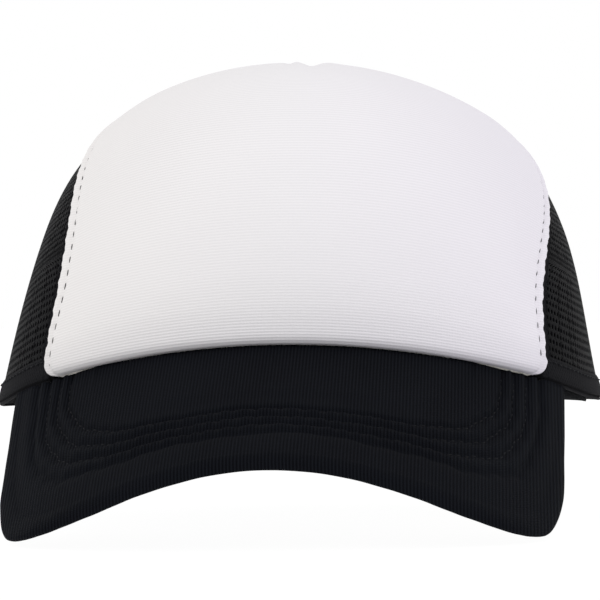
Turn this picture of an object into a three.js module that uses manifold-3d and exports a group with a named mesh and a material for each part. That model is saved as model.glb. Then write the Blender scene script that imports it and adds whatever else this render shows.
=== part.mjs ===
// A five-panel trucker cap: a foam front panel, four mesh panels, a curved bill in three layers,
// a sweatband, seam tapes, a top button and a two-part plastic snap strap across the rear opening.
// Millimetres. +Z is up and the bill points along -Y. The origin is the middle of the head opening,
// level with the lower edge of the crown at its sides. The wearer's left is +X.
import * as THREE from "three";
import { mergeVertices } from "three/addons/utils/BufferGeometryUtils.js";
import Module from "manifold-3d";

const wasm = await Module();
wasm.setup();

// Driving dimensions
const HEAD_HALF_WIDTH = 93;
const HEAD_HALF_LENGTH = 100;
const RIM_SQUARENESS = 2.15; // exponent of the rim's superellipse; 2 would be an ellipse
const FRONT_RISE = 18.3; // how far the rim lifts over the middle of the bill
const FRONT_RISE_FALL = 0.00195; // how fast that lift fades sideways, per mm
const REAR_DROP = 1;
const APEX = new THREE.Vector3(0, 2, 95); // where the panels meet, under the button
const LEAN = 1.8; // how far the soft crown leans over towards the wearer's left, above its rim
// Crown profiles from rim (1, 0) to apex (0, 1), as the two inner handles of a cubic
const SIDE_PROFILE = [0.868, 0.59, 0.85, 1.04];
const FRONT_PROFILE = [0.955, 0.84, 0.74, 1.255];
const REAR_PROFILE = [1.0, 0.58, 0.62, 1.0];

const TURN_AT_RIM = 2; // degrees that the front panel sits turned to the wearer's left
const TURN_ABOVE = 10; // and how much more it does towards the button

const MESH_THICKNESS = 1;
const FACE_THICKNESS = 0.6;
const FOAM_OUTER = 1.3; // the foam stands this far outside the mesh
const FOAM_INNER = -1.8;
const TAPE_OUTER = -2.8;
const TAPE_THICKNESS = 0.6;
const TAPE_WIDTH = 14;
const BAND_OUTER = -4.2;
const BAND_THICKNESS = 1;
const SEAM_GAP = 0.6; // clear distance between neighbouring panels
const PANEL_ROWS = 10; // the same in every panel, so that neighbours share their seams
const LAYER_GAP = 0.3;

const BILL_HALF_WIDTH = 82.2;
const BILL_CORNER_Y = -65; // where the bill is widest
const BILL_REACH = 100.7; // from there to its front edge
const BILL_SQUARENESS = 2.8;
const BILL_PITCH = 23.8; // degrees down at its middle
const BILL_PITCH_GAIN = 9.6; // more degrees down, 75 mm out from the middle
const BILL_SPAN = 62; // degrees of rim each side that the bill is sewn to
const BILL_TUCK = 1.002; // its inner edge, as a share of the rim's reach from the origin
const BILL_DROP = 0.8; // and how far that lies under the rim
const BILL_COVER = 1.4;
const BILL_BOARD = 1.6;
const BILL_LINING = 0.8;
const BILL_LAYER_GAP = 0.5;
const BILL_BOARD_INSET = 3;

const ARCH_HALF_ANGLE = 30; // the mesh's cut-out behind, in degrees each side of the middle
const ARCH_TOP = 0.36; // and how far up the profile it reaches
const BINDING_ANGLE = 26;
const BINDING_TOP = 0.315;
const BINDING_OUTER = 0.5;
const BINDING_THICKNESS = 2;

const STRAP_CENTRE_Y = -2.7;
const STRAP_RADIUS = 98.9; // outer face of the strap with the holes, at its lower edge
const STRAP_LEAN = 0.11; // how much each mm of height brings the straps in
const STRAP_THICKNESS = 1.3;
const STRAP_GAP = 0.6;
const STRAP_LOW = 3;
const STRAP_HEIGHT = 18;
const STRAP_ROOT_X = 38.5;
const STRAP_TIP_X = 29;
const STUD_COUNT = 7;
const STUD_PITCH = 9;
const FIRST_STUD_X = 31.5;
const STUD_RADIUS = 1.8;
const STUD_PROUD = 1.2; // how far a stud stands past the strap that it holds
const HOLE_RADIUS = 2.7;
const FLANGE_GAP = 1;
const FLANGE_LENGTH = 16;

const BUTTON_RADIUS = 7.5;
const BUTTON_HEIGHT = 4;
const BUTTON_LIFT = 3.3; // over the apex, on top of the foam
const BUTTON_TILT = 8; // degrees, back from the rise of the front panel
const SHANK_RADIUS = 1.8;
const APEX_HOLE = 0.972; // the panels stop here, round the button's shank

const deg = THREE.MathUtils.degToRad;
const lerp = THREE.MathUtils.lerp;
const smoothstep = THREE.MathUtils.smoothstep;
const signedPower = (x, p) => Math.sign(x) * Math.abs(x) ** p;
const steps = (n) => Array.from({ length: n + 1 }, (_, i) => i / n);

// The crown's outer surface. phi runs round from the front, towards +X, and t from rim to apex.
function cubic(t, a, b, c, d) {
  const s = 1 - t;
  return s * s * s * a + 3 * s * s * t * b + 3 * s * t * t * c + t * t * t * d;
}

function rimPoint(phi) {
  const p = 2 / RIM_SQUARENESS;
  const x = HEAD_HALF_WIDTH * signedPower(Math.sin(phi), p);
  const y = -HEAD_HALF_LENGTH * signedPower(Math.cos(phi), p);
  const round = Math.abs(phi);
  const raised = 1 - smoothstep(round, deg(52), deg(98));
  const lift = (FRONT_RISE - FRONT_RISE_FALL * x * x) * raised;
  const drop = REAR_DROP * smoothstep(round, deg(80), deg(130));
  return new THREE.Vector3(x, y, lift - drop);
}

function profileAt(phi) {
  const c = Math.cos(phi);
  const front = c > 0 ? c * c : 0;
  const rear = c < 0 ? (-c) ** 1.3 : 0;
  return SIDE_PROFILE.map(
    (side, i) => side * (1 - front - rear) + FRONT_PROFILE[i] * front + REAR_PROFILE[i] * rear,
  );
}

// The soft crown sits a little turned: towards its top the front half comes round to the left.
function settled(phi, t) {
  const turn = deg(TURN_AT_RIM + TURN_ABOVE * smoothstep(t, 0, 0.7));
  return phi + turn * (1 - smoothstep(Math.abs(phi), deg(85), deg(145)));
}

function crownSurface(phi, t) {
  const at = settled(phi, t);
  const rim = rimPoint(at);
  const [out1, up1, out2, up2] = profileAt(at);
  const out = cubic(t, 1, out1, out2, 0);
  const up = cubic(t, 0, up1, up2, 1);
  const lean = LEAN * smoothstep(t, 0, 0.35);
  return new THREE.Vector3(
    lerp(APEX.x, rim.x, out) + lean,
    lerp(APEX.y, rim.y, out),
    lerp(rim.z, APEX.z, up),
  );
}

function crownPoint(phi, t, offset) {
  const e = 1e-3;
  const across = crownSurface(phi + e, t).sub(crownSurface(phi - e, t));
  const along = crownSurface(phi, Math.min(t + e, 1)).sub(crownSurface(phi, Math.max(t - e, 0)));
  return crownSurface(phi, t).addScaledVector(across.cross(along).normalize(), offset);
}

// How many radians of phi a length in mm spans at height t.
function angleOf(length, phi, t) {
  const e = 1e-3;
  return (length * 2 * e) / crownSurface(phi + e, t).distanceTo(crownSurface(phi - e, t));
}

// Seams, as phi at height t
const frontSeam = (t) => deg(50.5 + 29.5 * smoothstep(t, 0.1, 0.8));
const sideSeam = (t) => deg(114 + 14 * t);
const backSeam = () => Math.PI;

// A closed sheet between two grids of points, outer[j][i] and inner[j][i].
function sheetGeometry(outer, inner) {
  const rows = outer.length;
  const columns = outer[0].length;
  const points = [...outer.flat(), ...inner.flat()];
  const at = (side, j, i) => side * rows * columns + j * columns + i;
  const index = [];
  const quad = (a, b, c, d) => index.push(a, b, c, a, c, d);
  for (let j = 0; j + 1 < rows; j++) {
    for (let i = 0; i + 1 < columns; i++) {
      quad(at(0, j, i), at(0, j, i + 1), at(0, j + 1, i + 1), at(0, j + 1, i));
      quad(at(1, j, i), at(1, j + 1, i), at(1, j + 1, i + 1), at(1, j, i + 1));
    }
    quad(at(0, j, 0), at(0, j + 1, 0), at(1, j + 1, 0), at(1, j, 0));
    quad(at(0, j + 1, columns - 1), at(0, j, columns - 1), at(1, j, columns - 1), at(1, j + 1, columns - 1));
  }
  for (let i = 0; i + 1 < columns; i++) {
    quad(at(0, 0, i + 1), at(0, 0, i), at(1, 0, i), at(1, 0, i + 1));
    quad(at(0, rows - 1, i), at(0, rows - 1, i + 1), at(1, rows - 1, i + 1), at(1, rows - 1, i));
  }
  const geometry = new THREE.BufferGeometry().setFromPoints(points);
  geometry.setIndex(index);
  geometry.computeVertexNormals();
  return geometry;
}

// A sheet of the crown. place(a, b) gives [phi, t], with a across towards +X and b upwards.
function crownSheet(place, across, up, outer, inner) {
  const grid = (offset) =>
    steps(up).map((b) => steps(across).map((a) => crownPoint(...place(a, b), offset)));
  return sheetGeometry(grid(outer), grid(inner));
}

// Moves a place sideways off the seams at a = 0 and a = 1, so that neighbours stay apart.
function offSeams([phi, t], a) {
  return [phi + angleOf(SEAM_GAP / 2, phi, t) * (1 - 2 * a), t];
}

const cap = new THREE.Group();

function add(name, geometry, material) {
  const mesh = new THREE.Mesh(geometry, material);
  mesh.name = name;
  cap.add(mesh);
  return mesh;
}

const material = (color, roughness, metalness = 0) =>
  new THREE.MeshStandardMaterial({ color, roughness, metalness });
const whiteKnit = material(0xeceaee, 0.9);
const whiteFoam = material(0xe6e4e0, 0.95);
const blackMesh = material(0x141517, 0.7);
const blackKnit = material(0x0e0f12, 0.85);
const blackTape = material(0x101114, 0.85);
const blackPlastic = material(0x121214, 0.4);
const greyBoard = material(0x9a9a96, 0.6);
const bareSteel = material(0xb8babd, 0.35, 1);
const whiteLabel = material(0xf2f2f0, 0.8);

// Front panel: a knit face bonded to foam, in one piece from seam to seam
function frontPlace(a, b) {
  const t = b * APEX_HOLE;
  return offSeams([lerp(-frontSeam(t), frontSeam(t), a), t], a);
}

function addFrontPanel() {
  const face = FOAM_OUTER + LAYER_GAP;
  add("front_panel_face", crownSheet(frontPlace, 16, PANEL_ROWS, face + FACE_THICKNESS, face), whiteKnit);
  add("front_panel_foam", crownSheet(frontPlace, 16, PANEL_ROWS, FOAM_OUTER, FOAM_INNER), whiteFoam);
}

// The four mesh panels. side is 1 on the wearer's left and -1 on the right.
function mirrored(place, side) {
  return (a, b) => {
    const [phi, t] = place(side > 0 ? a : 1 - a, b);
    return [side * phi, t];
  };
}

function sidePanelPlace(a, b) {
  const t = b * APEX_HOLE;
  return offSeams([lerp(frontSeam(t), sideSeam(t), a), t], a);
}

// The rear panel's lower edge runs along the rim, then up the arch of the rear opening.
const RIM_SHARE = 0.45;

function rearPanelPlace(a, b) {
  const foot = Math.PI - deg(ARCH_HALF_ANGLE);
  const round = (Math.max(a - RIM_SHARE, 0) / (1 - RIM_SHARE)) * (Math.PI / 2);
  const low =
    a < RIM_SHARE
      ? [lerp(sideSeam(0), foot, a / RIM_SHARE), 0]
      : [Math.PI - deg(ARCH_HALF_ANGLE) * Math.cos(round), ARCH_TOP * Math.sin(round)];
  const high = [lerp(sideSeam(APEX_HOLE), backSeam(), a), APEX_HOLE];
  return offSeams([lerp(low[0], high[0], b), lerp(low[1], high[1], b)], a);
}

function addMeshPanels() {
  for (const [name, side] of [["left", 1], ["right", -1]]) {
    const panel = (place, across) =>
      crownSheet(mirrored(place, side), across, PANEL_ROWS, 0, -MESH_THICKNESS);
    add(`${name}_side_mesh_panel`, panel(sidePanelPlace, 7), blackMesh);
    add(`${name}_rear_mesh_panel`, panel(rearPanelPlace, 13), blackMesh);
  }
}

// Tapes that cover the seams inside, from just over the rim to near the button
function tapePlace(seam, from, to) {
  return (a, b) => {
    const t = lerp(from, to, b);
    const phi = seam(t);
    return [phi + (a - 0.5) * angleOf(TAPE_WIDTH, phi, t), t];
  };
}

function addSeamTapes() {
  const inner = TAPE_OUTER - TAPE_THICKNESS;
  const tape = (place, up) => crownSheet(place, 1, up, TAPE_OUTER, inner);
  for (const [name, side] of [["left", 1], ["right", -1]]) {
    const front = mirrored(tapePlace(frontSeam, 0.02, 0.9), side);
    const rear = mirrored(tapePlace(sideSeam, 0.02, 0.9), side);
    add(`${name}_front_seam_tape`, tape(front, 12), blackTape);
    add(`${name}_rear_seam_tape`, tape(rear, 10), blackTape);
  }
  add("centre_back_seam_tape", tape(tapePlace(backSeam, 0.42, 0.9), 6), blackTape);
}

function addSweatband() {
  const end = deg(139);
  const place = (a, b) => [lerp(-end, end, a), lerp(0.012, 0.17, b)];
  add("sweatband", crownSheet(place, 44, 2, BAND_OUTER, BAND_OUTER - BAND_THICKNESS), blackKnit);
}

function addCareLabel() {
  const place = (a, b) => [deg(lerp(126, 139, a)), lerp(0.19, 0.34, b)];
  add("care_label", crownSheet(place, 2, 2, -3.4, -3.8), whiteLabel);
}

// Bound edge of the rear opening, from rim to rim over the arch
function addRearBinding() {
  const place = (a, b) => {
    const round = Math.PI * b;
    const half = deg(lerp(ARCH_HALF_ANGLE, BINDING_ANGLE, a));
    const top = lerp(ARCH_TOP, BINDING_TOP, a);
    const phi = Math.PI - half * Math.cos(round);
    return [phi, top * Math.sin(round)];
  };
  const clear = (a) => lerp(0.13, 1, a); // off the mesh's cut edge
  const grid = (offset) =>
    steps(22).map((b) => steps(1).map((a) => crownPoint(...place(clear(a), b), offset)));
  const outer = grid(BINDING_OUTER);
  const inner = grid(BINDING_OUTER - BINDING_THICKNESS);
  add("rear_opening_binding", sheetGeometry(outer, inner), blackTape);
}

// The bill's upper surface over a point of the plan
function billHeight(x, y) {
  const share = Math.min(Math.abs(x / HEAD_HALF_WIDTH), 1) ** RIM_SQUARENESS;
  const rimY = -HEAD_HALF_LENGTH * (1 - share) ** (1 / RIM_SQUARENESS);
  const pitch = deg(BILL_PITCH + BILL_PITCH_GAIN * (x / 75) ** 2);
  return FRONT_RISE - BILL_DROP - FRONT_RISE_FALL * x * x - Math.tan(pitch) * (rimY - y);
}

function billPoint(x, y, depth) {
  const e = 0.05;
  const slopeX = (billHeight(x + e, y) - billHeight(x - e, y)) / (2 * e);
  const slopeY = (billHeight(x, y + e) - billHeight(x, y - e)) / (2 * e);
  const normal = new THREE.Vector3(-slopeX, -slopeY, 1).normalize();
  return new THREE.Vector3(x, y, billHeight(x, y)).addScaledVector(normal, -depth);
}

// Plan of the bill: psi runs from -90 to 90 degrees along its outer edge, and d from crown to edge.
// Each layer stops short of the ends, where the plan tapers out under the crown.
function billPlan(psi, d, inset) {
  const p = 2 / BILL_SQUARENESS;
  const rim = rimPoint((psi * deg(BILL_SPAN)) / (Math.PI / 2));
  const outerX = (BILL_HALF_WIDTH - inset) * signedPower(Math.sin(psi), p);
  const outerY = BILL_CORNER_Y - (BILL_REACH - inset) * Math.abs(Math.cos(psi)) ** p;
  return [lerp(rim.x * BILL_TUCK, outerX, d), lerp(rim.y * BILL_TUCK, outerY, d)];
}

function billGrid(path, across, inset, reach) {
  return steps(across).map((a) => {
    const psi = lerp(-deg(reach), deg(reach), a);
    return path.map(([d, edge, depth]) => billPoint(...billPlan(psi, d, inset + edge), depth));
  });
}

function addBill() {
  const board = BILL_COVER + BILL_LAYER_GAP;
  const lining = board + BILL_BOARD + BILL_LAYER_GAP;
  const ds = [0, 0.25, 0.5, 0.75, 1];
  const ENDS = 86;
  // The cover turns down over the edge and ends beside the lining.
  const skin = [...ds.map((d) => [d, 0.6, 0]), [1, 0, 1], [1, 0, lining + BILL_LINING]];
  const back = [...ds.map((d) => [d, 1.6, BILL_COVER]), [1, 1.5, 1.8], [1, 1.5, lining + BILL_LINING]];
  const cover = [billGrid(skin, 28, 0, ENDS), billGrid(back, 28, 0, ENDS)];
  add("bill_top_cover", sheetGeometry(...cover), blackKnit);
  const layer = (depth, thickness, inset, across, ends) =>
    sheetGeometry(
      billGrid(ds.map((d) => [d, 0, depth]), across, inset, ends),
      billGrid(ds.map((d) => [d, 0, depth + thickness]), across, inset, ends),
    );
  add("bill_board", layer(board, BILL_BOARD, BILL_BOARD_INSET, 24, 80), greyBoard);
  add("bill_under_cover", layer(lining, BILL_LINING, 2.6, 28, 84), blackKnit);
}

// Top button: a covered shell held by a shank that is clenched under the crown
function addButton() {
  const dome = new THREE.Shape();
  dome.moveTo(0, 1.2);
  dome.lineTo(BUTTON_RADIUS - 1.4, 0.6);
  dome.lineTo(BUTTON_RADIUS - 0.8, 0);
  dome.lineTo(BUTTON_RADIUS, 0.3);
  dome.quadraticCurveTo(BUTTON_RADIUS * 0.85, BUTTON_HEIGHT, 0, BUTTON_HEIGHT);
  const clench = TAPE_OUTER - TAPE_THICKNESS - 1 - BUTTON_LIFT;
  const shank = [
    [0, clench - 0.8],
    [5, clench - 0.8],
    [5, clench],
    [SHANK_RADIUS, clench],
    [SHANK_RADIUS, 0.3],
    [0, 0.3],
  ].map(([r, z]) => new THREE.Vector2(r, z));
  const pieces = [
    add("top_button_cap", new THREE.LatheGeometry(dome.getPoints(7), 24), blackKnit),
    add("top_button_shank", new THREE.LatheGeometry(shank, 16), bareSteel),
  ];
  for (const piece of pieces) {
    piece.position.set(APEX.x + LEAN, APEX.y, APEX.z + BUTTON_LIFT);
    piece.rotation.x = Math.PI / 2 - deg(BUTTON_TILT);
  }
}

// Booleans, on solids made from three.js geometries
function solidOf(geometry) {
  const bare = geometry.clone();
  bare.deleteAttribute("normal");
  bare.deleteAttribute("uv");
  const merged = mergeVertices(bare, 1e-4);
  return new wasm.Manifold(
    new wasm.Mesh({
      numProp: 3,
      vertProperties: merged.attributes.position.array,
      triVerts: new Uint32Array(merged.index.array),
    }),
  );
}

function geometryOf(solid) {
  const { vertProperties, triVerts } = solid.getMesh();
  const geometry = new THREE.BufferGeometry();
  geometry.setAttribute("position", new THREE.BufferAttribute(vertProperties, 3));
  geometry.setIndex(new THREE.BufferAttribute(triVerts, 1));
  geometry.computeVertexNormals();
  return geometry;
}

// A band standing on edge, bent to a radius about the strap's centre, between two plan angles
function bandGeometry(radius, from, to, low, height, segments) {
  const arc = (r, reversed) =>
    steps(segments).map((s) => {
      const angle = reversed ? lerp(to, from, s) : lerp(from, to, s);
      return new THREE.Vector2(r * Math.sin(angle), STRAP_CENTRE_Y + r * Math.cos(angle));
    });
  const outline = new THREE.Shape([...arc(radius, false), ...arc(radius - STRAP_THICKNESS, true)]);
  const band = new THREE.ExtrudeGeometry(outline, { depth: height, bevelEnabled: false });
  return band.translate(0, 0, low);
}

// A pin or hole across the strap at plan position x
function crossCylinder(radius, from, to, x, segments) {
  const angle = Math.asin(x / STRAP_RADIUS);
  const middle = (from + to) / 2;
  const cylinder = new THREE.CylinderGeometry(radius, radius, to - from, segments);
  cylinder.rotateZ(-angle);
  return cylinder.translate(
    middle * Math.sin(angle),
    STRAP_CENTRE_Y + middle * Math.cos(angle),
    STRAP_LOW + STRAP_HEIGHT / 2,
  );
}

// Tips the straps in towards the top, with the crown behind them.
function leanIn(geometry) {
  const position = geometry.attributes.position;
  for (let i = 0; i < position.count; i++) {
    const point = new THREE.Vector3().fromBufferAttribute(position, i);
    const scale = 1 - (STRAP_LEAN * (point.z - STRAP_LOW)) / STRAP_RADIUS;
    const y = STRAP_CENTRE_Y + (point.y - STRAP_CENTRE_Y) * scale;
    position.setXYZ(i, point.x * scale, y, point.z);
  }
  geometry.computeVertexNormals();
  return geometry;
}

// A strap with a rounded tip. side is where its root is: 1 on the wearer's left, -1 on the right.
function strapBand(radius, side) {
  const root = Math.asin(STRAP_ROOT_X / STRAP_RADIUS);
  const tip = -Math.asin(STRAP_TIP_X / STRAP_RADIUS);
  const from = side > 0 ? tip : -root;
  const to = side > 0 ? root : -tip;
  const band = solidOf(bandGeometry(radius, from, to, STRAP_LOW, STRAP_HEIGHT, 22));
  const round = STRAP_HEIGHT / 2;
  const outline = new THREE.Shape();
  outline.moveTo(side * 60, -20);
  outline.lineTo(side * 60, STRAP_HEIGHT + 20);
  outline.lineTo(side * (round - STRAP_TIP_X), STRAP_HEIGHT + 20);
  outline.lineTo(side * (round - STRAP_TIP_X), STRAP_HEIGHT);
  for (const s of steps(10)) {
    const angle = Math.PI / 2 + s * Math.PI;
    const x = round - STRAP_TIP_X + round * Math.cos(angle);
    outline.lineTo(side * x, round + round * Math.sin(angle));
  }
  outline.lineTo(side * (round - STRAP_TIP_X), -20);
  const trim = new THREE.ExtrudeGeometry(outline, { depth: 80, bevelEnabled: false });
  trim.rotateX(Math.PI / 2).translate(0, 130, STRAP_LOW);
  return band.intersect(solidOf(trim));
}

function addStraps() {
  const innerRadius = STRAP_RADIUS - STRAP_THICKNESS - STRAP_GAP;
  const studTop = STRAP_RADIUS + STUD_PROUD;
  let holed = strapBand(STRAP_RADIUS, -1);
  let studded = strapBand(innerRadius, 1);
  for (let i = 0; i < STUD_COUNT; i++) {
    const x = FIRST_STUD_X - i * STUD_PITCH;
    const stud = crossCylinder(STUD_RADIUS, innerRadius - STRAP_THICKNESS / 2, studTop, x, 12);
    const hole = crossCylinder(HOLE_RADIUS, STRAP_RADIUS - 4, STRAP_RADIUS + 4, -x, 14);
    studded = studded.add(solidOf(stud));
    holed = holed.subtract(solidOf(hole));
  }
  add("right_snap_strap", leanIn(geometryOf(holed)), blackPlastic);
  add("left_snap_strap", leanIn(geometryOf(studded)), blackPlastic);

  const root = Math.asin((STRAP_ROOT_X + FLANGE_GAP) / STRAP_RADIUS);
  const end = root + FLANGE_LENGTH / STRAP_RADIUS;
  const low = STRAP_LOW - 1;
  const height = STRAP_HEIGHT + 2;
  const right = bandGeometry(STRAP_RADIUS, -end, -root, low, height, 4);
  const left = bandGeometry(innerRadius, root, end, low, height, 4);
  add("right_strap_flange", leanIn(right), blackPlastic);
  add("left_strap_flange", leanIn(left), blackPlastic);
}

addFrontPanel();
addMeshPanels();
addSeamTapes();
addSweatband();
addCareLabel();
addRearBinding();
addBill();
addButton();
addStraps();

export default cap;
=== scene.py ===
"""A trucker cap in cloth, foam, mesh and plastic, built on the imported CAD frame.

Metres; +Z is up and the bill points along -Y. The shape functions work in millimetres.
"""
from math import cos, pi, radians, sin
import bpy
import numpy as np
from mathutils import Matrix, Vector


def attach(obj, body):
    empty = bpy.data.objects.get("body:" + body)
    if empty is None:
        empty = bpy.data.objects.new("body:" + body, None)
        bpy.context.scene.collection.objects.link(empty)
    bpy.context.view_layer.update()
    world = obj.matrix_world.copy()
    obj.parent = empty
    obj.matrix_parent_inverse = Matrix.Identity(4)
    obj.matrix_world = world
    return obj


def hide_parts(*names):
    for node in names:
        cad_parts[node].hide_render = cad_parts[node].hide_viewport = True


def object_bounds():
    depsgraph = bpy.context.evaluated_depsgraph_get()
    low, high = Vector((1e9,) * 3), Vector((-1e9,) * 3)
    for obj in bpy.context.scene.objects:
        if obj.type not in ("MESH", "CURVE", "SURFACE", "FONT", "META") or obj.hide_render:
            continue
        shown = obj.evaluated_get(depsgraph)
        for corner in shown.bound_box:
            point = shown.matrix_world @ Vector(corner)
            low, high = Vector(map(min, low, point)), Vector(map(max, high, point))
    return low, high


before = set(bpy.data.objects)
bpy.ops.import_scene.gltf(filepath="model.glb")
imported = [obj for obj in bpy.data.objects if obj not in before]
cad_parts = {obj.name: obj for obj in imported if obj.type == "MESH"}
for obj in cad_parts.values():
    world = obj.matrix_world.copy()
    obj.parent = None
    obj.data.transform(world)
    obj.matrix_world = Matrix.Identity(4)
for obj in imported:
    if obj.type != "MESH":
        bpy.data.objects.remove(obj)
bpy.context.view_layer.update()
MM = 0.001

# ---------------------------------------------------------------- shape of the crown, in mm
HALF_W, HALF_L, SQUARE = 93.0, 100.0, 2.15
RISE, RISE_FALL, REAR_DROP = 18.3, 0.00195, 1.0
APEX = np.array([0.0, 2.0, 95.0])
LEAN = 1.8  # the crown leans over to the wearer's left
SIDE = np.array([0.868, 0.59, 0.85, 1.04])
FRONT = np.array([0.955, 0.84, 0.74, 1.255])
REAR = np.array([1.0, 0.58, 0.62, 1.0])


def smooth(lo, hi, x):
    t = np.clip((np.asarray(x, float) - lo) / (hi - lo), 0, 1)
    return t * t * (3 - 2 * t)


def cubic(t, a, b, c, d):
    s = 1 - t
    return s**3 * a + 3 * s * s * t * b + 3 * s * t * t * c + t**3 * d


def power(x, p):
    return np.sign(x) * np.abs(x) ** p


def rim(phi):
    x = HALF_W * power(np.sin(phi), 2 / SQUARE)
    y = -HALF_L * power(np.cos(phi), 2 / SQUARE)
    a = np.abs(phi)
    lift = (RISE - RISE_FALL * x * x) * (1 - smooth(radians(52), radians(98), a))
    return x, y, lift - REAR_DROP * smooth(radians(80), radians(130), a)


def settled(phi, t):
    """The soft crown sits a little turned: towards its top the front half comes round to the left."""
    turn = radians(2) + radians(10) * smooth(0, 0.7, t)
    return phi + turn * (1 - smooth(radians(85), radians(145), np.abs(phi)))


def surface(phi, t):
    phi = settled(phi, t)
    x, y, z = rim(phi)
    c = np.cos(phi)
    f = np.where(c > 0, c * c, 0)
    r = np.where(c < 0, np.abs(c) ** 1.3, 0)
    k = [SIDE[i] * (1 - f - r) + FRONT[i] * f + REAR[i] * r for i in range(4)]
    out = cubic(t, 1, k[0], k[2], 0)
    up = cubic(t, 0, k[1], k[3], 1)
    x = APEX[0] + (x - APEX[0]) * out + LEAN * smooth(0, 0.35, t)
    y = APEX[1] + (y - APEX[1]) * out
    return np.stack([x, y, z + (APEX[2] - z) * up], -1)


def normals(phi, t):
    e = 1e-3
    across = surface(phi + e, t) - surface(phi - e, t)
    along = surface(phi, np.minimum(t + e, 1)) - surface(phi, np.maximum(t - e, 0))
    n = np.cross(across, along)
    return n / np.linalg.norm(n, axis=-1, keepdims=True)


def crown(phi, t, offset=0.0):
    """Points at phi and t, that many mm outside the mesh's outer face."""
    phi, t, offset = np.broadcast_arrays(*(np.asarray(v, float) for v in (phi, t, offset)))
    return surface(phi, t) + normals(phi, t) * offset[..., None]


def mm_per_phi(phi, t):
    e = 1e-3
    return np.linalg.norm(surface(phi + e, t) - surface(phi - e, t), axis=-1) / (2 * e)


def front_seam(t):
    return np.radians(50.5 + 29.5 * smooth(0.1, 0.8, t))


def side_seam(t):
    return np.radians(114 + 14 * np.asarray(t, float))


def lengths(points):
    """Distance along a line of points, from its first."""
    return np.concatenate([[0], np.cumsum(np.linalg.norm(np.diff(np.asarray(points, float), axis=0), axis=1))])


def heights(phi_of_t, n=400, top=1.0):
    """Distance from the rim along a seam or centre line, at n even steps of t."""
    t = np.linspace(0, top, n)
    p = surface(phi_of_t(t), t)
    return t, lengths(p)


# ---------------------------------------------------------------- meshes
def piece(name, verts, faces, material, body="cap", uv=None):
    mesh = bpy.data.meshes.new(name)
    verts = np.asarray(verts, float).reshape(-1, 3) * MM
    if isinstance(faces, np.ndarray):
        n, k = faces.shape
        mesh.vertices.add(len(verts))
        mesh.vertices.foreach_set("co", verts.astype(np.float32).ravel())
        mesh.loops.add(n * k)
        mesh.loops.foreach_set("vertex_index", faces.astype(np.int32).ravel())
        mesh.polygons.add(n)
        mesh.polygons.foreach_set("loop_start", np.arange(0, n * k, k, dtype=np.int32))
        mesh.update(calc_edges=True)
    else:
        mesh.from_pydata([tuple(v) for v in verts], [], [tuple(int(i) for i in f) for f in faces])
    mesh.validate()
    if uv is not None:
        uv = np.asarray(uv, float).reshape(-1, 2)
        index = np.zeros(len(mesh.loops), np.int32)
        mesh.loops.foreach_get("vertex_index", index)
        layer = mesh.uv_layers.new(name="UVMap")
        layer.data.foreach_set("uv", uv[index].astype(np.float32).ravel())
    mesh.polygons.foreach_set("use_smooth", np.full(len(mesh.polygons), True))
    mesh.materials.append(material)
    mesh.update()
    obj = bpy.data.objects.new(name, mesh)
    bpy.context.scene.collection.objects.link(obj)
    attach(obj, body)
    return obj


def grid_faces(rows, cols, start=0, flip=False):
    j, i = np.meshgrid(np.arange(rows - 1), np.arange(cols - 1), indexing="ij")
    a = start + j * cols + i
    q = np.stack([a, a + 1, a + cols + 1, a + cols], -1).reshape(-1, 4)
    return q[:, ::-1] if flip else q


def ring_faces(rows, cols):
    """Faces of a tube: rows of points, each a closed ring."""
    j, i = np.meshgrid(np.arange(rows - 1), np.arange(cols), indexing="ij")
    a = j * cols + i
    b = j * cols + (i + 1) % cols
    return np.stack([a, b, b + cols, a + cols], -1).reshape(-1, 4)


def shell(outer, inner):
    """A closed sheet between two grids of points."""
    rows, cols = outer.shape[:2]
    n = rows * cols
    verts = np.concatenate([outer.reshape(-1, 3), inner.reshape(-1, 3)])
    faces = [grid_faces(rows, cols), grid_faces(rows, cols, n, True)]
    at = lambda j, i: j * cols + i
    j = np.arange(rows - 1)
    i = np.arange(cols - 1)
    faces.append(np.stack([at(j, 0), at(j + 1, 0), n + at(j + 1, 0), n + at(j, 0)], -1))
    c = cols - 1
    faces.append(np.stack([at(j + 1, c), at(j, c), n + at(j, c), n + at(j + 1, c)], -1))
    faces.append(np.stack([at(0, i + 1), at(0, i), n + at(0, i), n + at(0, i + 1)], -1))
    r = rows - 1
    faces.append(np.stack([at(r, i), at(r, i + 1), n + at(r, i + 1), n + at(r, i)], -1))
    return verts, np.concatenate(faces)


def sweep(path, normal, profile):
    """A tube along a path. profile is (across, out) pairs round the section, in mm, and
    normal points out at each point."""
    path = np.asarray(path, float)
    tangent = np.gradient(path, axis=0)
    tangent /= np.linalg.norm(tangent, axis=1, keepdims=True)
    side = np.cross(normal, tangent)
    side /= np.linalg.norm(side, axis=1, keepdims=True)
    up = np.cross(tangent, side)
    profile = np.asarray(profile, float)
    if profile.ndim == 2:
        profile = np.broadcast_to(profile, (len(path), *profile.shape))
    verts = path[:, None] + side[:, None] * profile[..., :1] + up[:, None] * profile[..., 1:]
    rows, cols = verts.shape[:2]
    faces = ring_faces(rows, cols)[:, ::-1]
    caps = [list(range(cols)), list(range(rows * cols - 1, (rows - 1) * cols - 1, -1))]
    return verts.reshape(-1, 3), faces, caps


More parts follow.
